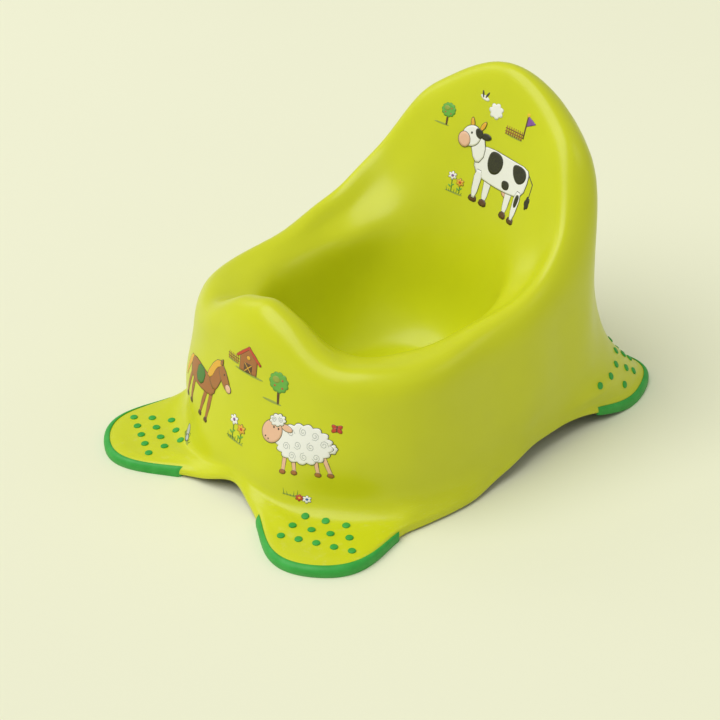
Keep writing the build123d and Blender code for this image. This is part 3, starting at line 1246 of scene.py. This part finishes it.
def sheep() -> list[Blob]:
    """A plain woolly sheep standing side on: scalloped body, short legs, small smooth head.

    Returns:
        The picture's forms, back to front.
    """
    hips = ((-13, -3), (-6, 0), (13, 1), (20, 4))
    legs = [stroke(x, -8, x + lean, -23, 3.4, Ink.skin, 0.8) for x, lean in hips]
    feet = [oval(x, -24, 2.5, 1.8, Ink.brown) for x in (-16.5, -6.5, 13.5, 23.5)]
    wool = (
        (-7, 8), (4, 10), (14, 7.5), (21, 1), (10, -1.5), (-1.5, -1), (-12, -3), (3.5, -10), (14, -9.5),
        (-7, -10),
    )
    return [
        *outlined(legs),
        *outlined(feet, 0.3),
        *lined(oval(27, -2, 4.0, 3.5, Ink.white, 30, 6, 0.12)),
        *lined(oval(3, 0, 24, 15.5, Ink.white, 2, 17, 0.06)),
        *curls(wool, 3.6),
        *lined(oval(-11, 11, 5.6, 2.5, Ink.skin, -18)),
        *lined(oval(-25, 7, 10.4, 8.6, Ink.skin, 40)),
        *lined(oval(-19, 16.5, 7.2, 4.6, Ink.white, 10, 9, 0.12)),
        *curls(((-22.5, 16.5), (-16, 17)), 2.4),
        oval(-23, 10.5, 0.8, 0.9, Ink.black), oval(-18.6, 9.5, 0.8, 0.9, Ink.black),
        oval(-31.4, 2.6, 0.6, 0.7, Ink.black), oval(-29, 0.6, 0.6, 0.7, Ink.black),
    ]


def cow() -> list[Blob]:
    """A plain patched cow standing side on, with short horns.

    Returns:
        The picture's forms, back to front.
    """
    hips = (-19, -8, 17, 28)
    leg, hoof = ((0, -6), (8, -6), (7, -29), (2, -29)), ((1.5, -27), (7.5, -27), (8.5, -32), (0, -32))
    legs = [patch([(hip + x, y) for x, y in leg], Ink.white, 1) for hip in hips]
    hooves = [patch([(hip + x, y) for x, y in hoof], Ink.dark_brown, 1) for hip in hips]
    body = [
        (-20, 12), (-10, 15), (14, 14), (34, 14), (38, 8), (37, -8), (24, -12), (2, -13), (-16, -11),
        (-23, -2),
    ]
    return [
        stroke(37, 10, 44, 5, 0.8, Ink.line), stroke(44, 5, 44.5, -6, 0.8, Ink.line),
        *lined(oval(44.5, -10, 2.4, 4.6, Ink.black, 5, 5, 0.15), 0.3),
        *lined(oval(18, -13, 5, 3, Ink.skin)),
        *outlined(legs[1:3]),
        *outlined(hooves),
        *lined(patch(body, Ink.white, 1)),
        *outlined([legs[0], legs[3]]),
        patch([(-8, 14), (4, 14), (8, 6), (4, -3), (-5, -5), (-10, 3)], Ink.black),
        patch([(17, 13), (33, 13), (36, 4), (28, -2), (20, 3)], Ink.black),
        patch([(10, -4), (19, -3), (20, -10), (12, -11)], Ink.black),
        patch([(30, -8), (35, -8), (34, -19), (30, -18)], Ink.black),
        *lined(oval(-33, 27, 1.7, 4.4, Ink.mane, 20)), *lined(oval(-22, 28, 1.7, 4.4, Ink.mane, -25)),
        *lined(patch([(-32, 22), (-20, 24), (-13, 8), (-19, -3), (-27, 4)], Ink.white, 1)),
        *lined(oval(-17, 21, 5.2, 2.4, Ink.black, 8)),
        *lined(oval(-31, 17, 9.6, 8.2, Ink.white, 35)),
        patch([(-29, 25), (-21, 25), (-20, 17), (-27, 18)], Ink.black),
        *lined(oval(-37, 12, 5.6, 6.2, Ink.skin, 35)),
        oval(-31.5, 19.5, 0.9, 1.0, Ink.black),
    ]


def horse() -> list[Blob]:
    """A plain brown horse standing side on, with a pale mane and tail and a green blanket.

    Returns:
        The picture's forms, back to front.
    """
    body = [(-22, 8), (-12, 11), (6, 9), (20, 10), (21, -4), (8, -8), (-10, -8), (-21, -5)]
    hips = ((-17, -2), (-10, 1), (10, -1), (17, 2))
    hoof = ((-1.6, -27), (1.8, -27), (2.8, -31), (-2.6, -31))
    legs = [stroke(x, -4, x + lean, -28, 4.6, Ink.brown, 0.6) for x, lean in hips]
    hooves = [patch([(hip + lean + x, y) for x, y in hoof], Ink.dark_brown, 1) for hip, lean in hips]
    return [
        *lined(patch([(-20, 8), (-27, 7), (-31, -8), (-28, -18), (-25, -6)], Ink.mane, 1)),
        *outlined(legs), *outlined(hooves, 0.3),
        *lined(patch(body, Ink.brown, 1)),
        *lined(patch([(8, 8), (19, 28), (27, 25), (24, 10), (20, 0)], Ink.brown, 1)),
        *lined(patch([(-9, 10.5), (4, 9.5), (4, -5), (-8, -5)], Ink.leaf_dark, 1)),
        *lined(patch([(18, 30), (26, 30), (38, 16), (36, 11), (30, 12), (21, 20)], Ink.brown, 1)),
        *lined(oval(35.5, 14, 3.6, 3.2, Ink.skin, -35)),
        *lined(patch([(5, 9), (13, 28), (22, 33), (24, 29), (17, 24), (12, 8)], Ink.mane, 1)),
        *lined(patch([(20, 29), (24, 29), (23, 36)], Ink.brown, 1)),
        oval(28, 23, 0.8, 0.9, Ink.black),
    ]


def tree(scale: float = 1.0) -> list[Blob]:
    """A round-headed tree with three fruits, standing in grass.

    Args:
        scale: Its size, as a share.

    Returns:
        The picture's forms, back to front.
    """
    k = scale
    return [
        oval(-5 * k, -13.6 * k, 9 * k, 1.1 * k, Ink.moss, -4),
        *lined(stroke(0, 0, 0.6 * k, -13 * k, 2 * k, Ink.dark_brown), 0.2),
        *lined(oval(0, 5 * k, 8.2 * k, 8.6 * k, Ink.leaf, 0, 11, 0.06), 0.3, Ink.leaf_dark),
        oval(-2.5 * k, 7 * k, 3.4 * k, 3 * k, Ink.moss),
        *[oval(x * k, y * k, 0.9 * k, 0.9 * k, Ink.red) for x, y in ((-3.5, 1.5), (3.2, 7.5), (3.4, 0.8))],
    ]


def fence(x: float, y: float, count: int, pitch: float, height: float) -> list[Blob]:
    """A picket fence: pointed boards in front of two rails.

    Args:
        x: Left end.
        y: Foot of the first board.
        count: How many boards.
        pitch: From one board to the next.
        height: Height of a board.

    Returns:
        The picture's forms, back to front.
    """
    end = x + (count - 1) * pitch
    levels = [y + height * share for share in (0.3, 0.66)]
    rails = [stroke(x - 1, level, end + 1, level - 0.8, 0.8, Ink.dark_brown) for level in levels]
    feet = [(x + i * pitch, y - 0.1 * i) for i in range(count)]
    boards = [stroke(left, low, left, low + height, pitch * 0.62, Ink.brown, 0.3) for left, low in feet]
    return [oval((x + end) / 2, y - 0.8, (end - x) * 0.6, 1, Ink.moss, -4), *rails, *boards]


def barn() -> list[Blob]:
    """A small brown barn with a dark door under a pitched roof, beside a fence.

    Returns:
        The picture's forms, back to front.
    """
    return [
        *fence(-21, -6, 6, 2.1, 7),
        oval(2, -11.5, 15, 1.2, Ink.moss, -2),
        *lined(patch([(-8, -11), (10, -11), (10, 3), (1, 12), (-8, 3)], Ink.brown, 0)),
        *lined(patch([(-3, -11), (5, -11), (5, -2), (-3, -2)], Ink.dark_brown, 0), 0.3),
        stroke(-2.6, -10.6, 4.6, -2.4, 0.7, Ink.mane), stroke(4.6, -10.6, -2.6, -2.4, 0.7, Ink.mane),
        *lined(oval(1, 4, 2, 2, Ink.mane), 0.3),
        *lined(stroke(1, 14, -11, 2, 2.4, Ink.red), 0.3), *lined(stroke(1, 14, 13, 2, 2.4, Ink.red), 0.3),
    ]


def flower_bed() -> list[Blob]:
    """Two flowers in grass.

    Returns:
        The picture's forms, back to front.
    """
    return [
        *grass(0, -10, 15, 4.5),
        *flower(-4, 7, 3.6, Ink.white, Ink.violet, 16),
        *flower(5, 2, 3.4, Ink.mane, Ink.red, 11),
    ]


def grass_bed() -> list[Blob]:
    """Grass with two low flowers.

    Returns:
        The picture's forms, back to front.
    """
    return [
        *grass(-3, -2, 17, 7),
        *lined(oval(2, -3, 2.9, 2.9, Ink.red, 0, 6, 0.25), 0.3), oval(2, -3, 1.1, 1.1, Ink.yellow),
        *lined(oval(8.5, -3.5, 3.2, 3.2, Ink.white, 0, 6, 0.25), 0.3), oval(8.5, -3.5, 1.3, 1.3, Ink.blue),
    ]


def butterfly() -> list[Blob]:
    """A small red butterfly: four oval wings on a dark body.

    Returns:
        The picture's forms, back to front.
    """
    wings = []
    for turn in (35, 145, 215, 325):
        slant = math.radians(turn)
        wings.append(oval(2.2 * math.cos(slant), 2 * math.sin(slant), 2.5, 1.5, Ink.red, turn))
    return [*outlined(wings, 0.25), stroke(0, -2.4, 0, 2.4, 0.7, Ink.line)]


def pebbles() -> list[Blob]:
    """Grey pebbles in grass.

    Returns:
        The picture's forms, back to front.
    """
    return [
        *grass(2, -4, 13, 6),
        *lined(oval(-2, 0, 4.6, 2.4, Ink.shade, -35)),
        *lined(oval(2.5, -3.4, 2.8, 1.7, Ink.shade, -15)),
    ]


def pennant() -> list[Blob]:
    """A violet pennant on a pole behind a fence.

    Returns:
        The picture's forms, back to front.
    """
    return [
        stroke(8, -9, 8, 11, 1.3, Ink.dark_brown), oval(8, 12, 1.6, 1.6, Ink.yellow),
        *lined(patch([(8.6, 11), (17, 6.5), (8.6, 2)], Ink.violet, 0), 0.3),
        *fence(-10, -10, 8, 2.3, 7),
    ]


def cloud() -> list[Blob]:
    """A small white cloud with a white bird over it.

    Returns:
        The picture's forms, back to front.
    """
    return [
        *lined(oval(8, -3, 6.4, 5.6, Ink.white, 0, 7, 0.14), 0.3, Ink.shade),
        *lined(oval(-6, 4, 4.6, 1.7, Ink.white, -12), 0.3, Ink.shade),
        oval(-8.5, 6.5, 0.9, 3, Ink.line, 20),
        oval(-4, 6.6, 0.9, 3, Ink.line, -30),
    ]


@dataclass
class Picture:
    """One printed picture, laid on the skin round a middle given by its angle and height."""

    name: str
    draw: Callable[[], list[Blob]]
    angle: float
    height: float
    on_back: bool = False
    turn: float = 0.0
    size: float = 1.0
    tall: float = 1.0
    ring_gap: float = 2.2
    ink_height: float = 0.07
    ink_step: float = 0.012
    rooted: float = 0.05
    rounds: int = 9
    turn_nudge: float = 0.2
    nudge: float = 0.05
    turn_limit: float = 8.0
    station_limit: float = 1.0

    def build(self, skin: Skin) -> bpy.types.Object:
        """Makes the picture: each inked form a thin closed skin of rings, later forms a hair higher.

        Args:
            skin: The skin that it lies on.

        Returns:
            The picture's object.
        """
        span = (Station.well_high, Station.roll) if self.on_back else (Station.crest, Station.toe)
        station = skin.station_where(self.angle, self.height, Measure.height, *span)
        centre, normal = skin.place(self.angle, station), skin.read(skin.normal, self.angle, station)
        right = np.cross([0, 0, 1], normal)
        right /= np.linalg.norm(right)
        up = np.cross(normal, right)
        c, s = math.cos(math.radians(self.turn)), math.sin(math.radians(self.turn))
        frame_axes = np.stack([c * right + s * up, c * up - s * right])
        draft = Draft()
        stretch = self.size * np.array([1.0, self.tall])
        layer = 0
        for blob in self.draw():
            layer += not blob.level
            reach = np.linalg.norm(blob.outline - blob.middle, axis=1).max()
            rings = max(2, math.ceil(reach * self.size / self.ring_gap))
            share = np.arange(1, rings + 1) / rings
            share = np.concatenate([share, share[::-1]])[:, None, None]
            flat = (blob.middle + (blob.outline - blob.middle) * share) * stretch
            lift = np.full(flat.shape[:2], self.rooted)
            lift[:rings] = -(self.ink_height + self.ink_step * layer)
            middle = np.array([[blob.middle * stretch]])
            here, after = blob.outline - blob.middle, np.roll(blob.outline, -1, 0) - blob.middle
            area = (here[:, 0] * after[:, 1] - here[:, 1] * after[:, 0]).sum()
            flat, lift = (flat, lift) if area > 0 else (flat[:, ::-1], lift)
            laid = self.laid(skin, flat, lift, centre, frame_axes, station)
            ends = (lift[:1, :1], lift[-1:, :1])
            poles = [self.laid(skin, middle, end, centre, frame_axes, station)[0, 0] for end in ends]
            capped(draft, laid, poles, blob.ink.value)
        return draft.piece(self.name, "body_plastic")

    def laid(
        self,
        skin: Skin,
        flat: np.ndarray,
        lift: np.ndarray,
        centre: np.ndarray,
        axes: np.ndarray,
        station: float,
    ) -> np.ndarray:
        """Drops drawn points on the skin along the normal at the picture's middle.

        The angle and station of each point are corrected in steps until its place, seen along that normal, is
        the drawn one; a step solves two linear equations for the two corrections.

        Args:
            skin: The skin.
            flat: Drawn points, right and up.
            lift: Depth of each below the skin.
            centre: The picture's middle.
            axes: Its right and up directions.
            station: The station of its middle.

        Returns:
            Places in millimetres.
        """
        angle, at = np.full(flat.shape[:2], self.angle), np.full(flat.shape[:2], station)
        for _ in range(self.rounds):
            here = skin.place(angle, at)
            off = flat - (here - centre) @ axes.T
            turned = (skin.place(angle + self.turn_nudge, at) - here) @ axes.T / self.turn_nudge
            moved = (skin.place(angle, at + self.nudge) - here) @ axes.T / self.nudge
            fall = turned[..., 0] * moved[..., 1] - turned[..., 1] * moved[..., 0]
            turn = (off[..., 0] * moved[..., 1] - off[..., 1] * moved[..., 0]) / fall
            step = (turned[..., 0] * off[..., 1] - turned[..., 1] * off[..., 0]) / fall
            angle = angle + np.clip(turn, -self.turn_limit, self.turn_limit)
            at = at + np.clip(step, -self.station_limit, self.station_limit)
        return skin.place(angle, at, lift)


# ---------------------------------------------------------------------------------------------- studio


@dataclass
class Studio:
    """The camera, the pale floor and the soft lights."""

    position: tuple[float, float, float] = (0.961, -0.9599, 0.8515)
    azimuth: float = 45.93
    elevation: float = 30.56
    lens: float = 99.2
    sensor: float = 36.0
    far: float = 50.0
    floor_size: float = 14.0
    air: Colour = (1.0, 1.0, 0.97, 1.0)
    air_strength: float = 0.38
    aim: tuple[float, float, float] = (0.0, 0.0, 0.1)

    def build(self) -> None:
        """Sets up the whole studio."""
        bpy.context.scene.view_settings.view_transform = "Standard"
        self.camera()
        self.floor()
        self.sky()
        self.sun("key_sun", towards=(-0.15, -0.5, 0.86), strength=2.1, spread=60.0)
        self.lamp("rim_softbox", place=(1.3, 1.1, 1.5), size=0.7, power=1.8)
        self.lamp("left_softbox", place=(-1.7, -0.4, 1.2), size=0.9, power=3.2)

    def camera(self) -> None:
        """Makes the camera, turned by its azimuth and elevation."""
        data = bpy.data.cameras.new("camera")
        data.lens, data.sensor_width, data.clip_end = self.lens, self.sensor, self.far
        thing = bpy.data.objects.new("camera", data)
        bpy.context.scene.collection.objects.link(thing)
        az, el = math.radians(self.azimuth), math.radians(self.elevation)
        back = Vector((math.sin(az) * math.cos(el), -math.cos(az) * math.cos(el), math.sin(el)))
        right = Vector((math.cos(az), math.sin(az), 0))
        up = back.cross(right)
        turned = Matrix((right, up, back)).transposed().to_4x4()
        thing.matrix_world = Matrix.Translation(self.position) @ turned
        bpy.context.scene.camera = thing

    def floor(self) -> None:
        """Makes the floor: one large face just under the rubber."""
        half = self.floor_size / 2
        mesh = bpy.data.meshes.new("floor")
        corners = [(-half, -half, 0), (half, -half, 0), (half, half, 0), (-half, half, 0)]
        mesh.from_pydata(corners, [], [(0, 1, 2, 3)])
        thing = bpy.data.objects.new("floor", mesh)
        bpy.context.scene.collection.objects.link(thing)
        PaleFloor("pale_floor", (0.85, 0.856, 0.635, 1), 0.9).dress(thing)

    def sky(self) -> None:
        """Makes the even light from all round."""
        world = bpy.data.worlds.new("studio_air")
        bpy.context.scene.world = world
        world.use_nodes = True
        air = world.node_tree.nodes["Background"]
        air.inputs["Color"].default_value = self.air
        air.inputs["Strength"].default_value = self.air_strength

    def sun(self, name: str, towards: tuple[float, float, float], strength: float, spread: float) -> None:
        """Makes one very broad sun, so that its shadows are soft and the floor is lit evenly.

        Args:
            name: Its name.
            towards: The direction that it shines from.
            strength: Its strength.
            spread: How wide it looks, in degrees.
        """
        data = bpy.data.lights.new(name, "SUN")
        data.energy, data.angle = strength, math.radians(spread)
        thing = bpy.data.objects.new(name, data)
        bpy.context.scene.collection.objects.link(thing)
        thing.rotation_euler = Vector(towards).to_track_quat("Z", "Y").to_euler()

    def lamp(self, name: str, place: tuple[float, float, float], size: float, power: float) -> None:
        """Makes one square softbox that faces the seat.

        Args:
            name: Its name.
            place: Its middle, in metres.
            size: Its side, in metres.
            power: Its power, in watts.
        """
        data = bpy.data.lights.new(name, "AREA")
        data.size, data.energy = size, power
        thing = bpy.data.objects.new(name, data)
        bpy.context.scene.collection.objects.link(thing)
        aim = Vector(self.aim) - Vector(place)
        thing.rotation_euler = aim.to_track_quat("-Z", "Y").to_euler()
        thing.location = place


def main() -> None:
    """Builds the studio, the shell, the rubber and the prints."""
    logging.basicConfig(level=logging.INFO, format="%(message)s")
    Studio().build()
    skin = Skin()
    plastic = MouldedPlastic("lime_plastic", (0.62, 0.66, 0.011, 1), 0.31)
    rubber = SoftRubber("green_rubber", (0.022, 0.34, 0.035, 1), 0.55)
    ink = PrintInk("print_ink", (0.5, 0.56, 0.1, 1), 0.38)
    plastic.dress(Shell(skin).build())
    soft = []
    for side in Side:
        reaches, pitches = (188.0, 174.5, 160.5), (13.7, 14.7, 16.0)
        front = StudMat(skin, End.front, side, 32.4, reaches, pitches, (20.0, 45.0), (13.6, 16.8))
        reaches, pitches = (202.0, 211.0, 218.5), (4.8, 4.3, 3.9)
        rear = StudMat(skin, End.rear, side, 153.5, reaches, pitches, (131.5, 159.5), (12.2, 16.4))
        front_grip = EdgeGrip(skin, End.front, side, 15.0, 51.5, 17.35)
        rear_grip = EdgeGrip(skin, End.rear, side, 133.5, 162.5, 17.5)
        soft += [part.build() for part in (front, rear, front_grip, rear_grip)]
    rubber.dress(*soft)
    pictures = [
        Picture("print_sheep", sheep, 22.9, 62.5, turn=10, size=0.96),
        Picture("print_tree", tree, 13.8, 98.0, tall=0.9),
        Picture("print_barn", barn, 0.2, 108.0, tall=0.8),
        Picture("print_horse", horse, -22.5, 70.0, tall=0.88, turn=-6),
        Picture("print_flowers", flower_bed, -0.8, 53.0, tall=0.9),
        Picture("print_grass", grass_bed, 23.2, 22.0, tall=0.8, size=0.9),
        Picture("print_butterfly", butterfly, 34.3, 79.5),
        Picture("print_pebbles", pebbles, -26.6, 17.0, size=1.15),
        Picture("print_cow", cow, 174.0, 185.0, True, turn=-3),
        Picture("print_back_tree", tree, 199.8, 213.5, True, size=0.8, tall=0.8),
        Picture("print_back_fence", pennant, 168.7, 224.0, True, tall=0.9),
        Picture("print_back_flowers", flower_bed, 191.7, 164.0, True, size=0.9, tall=0.85),
        Picture("print_cloud", cloud, 182.8, 231.0, True),
    ]
    ink.dress(*[picture.build(skin) for picture in pictures])


if __name__ == "__main__":
    main()
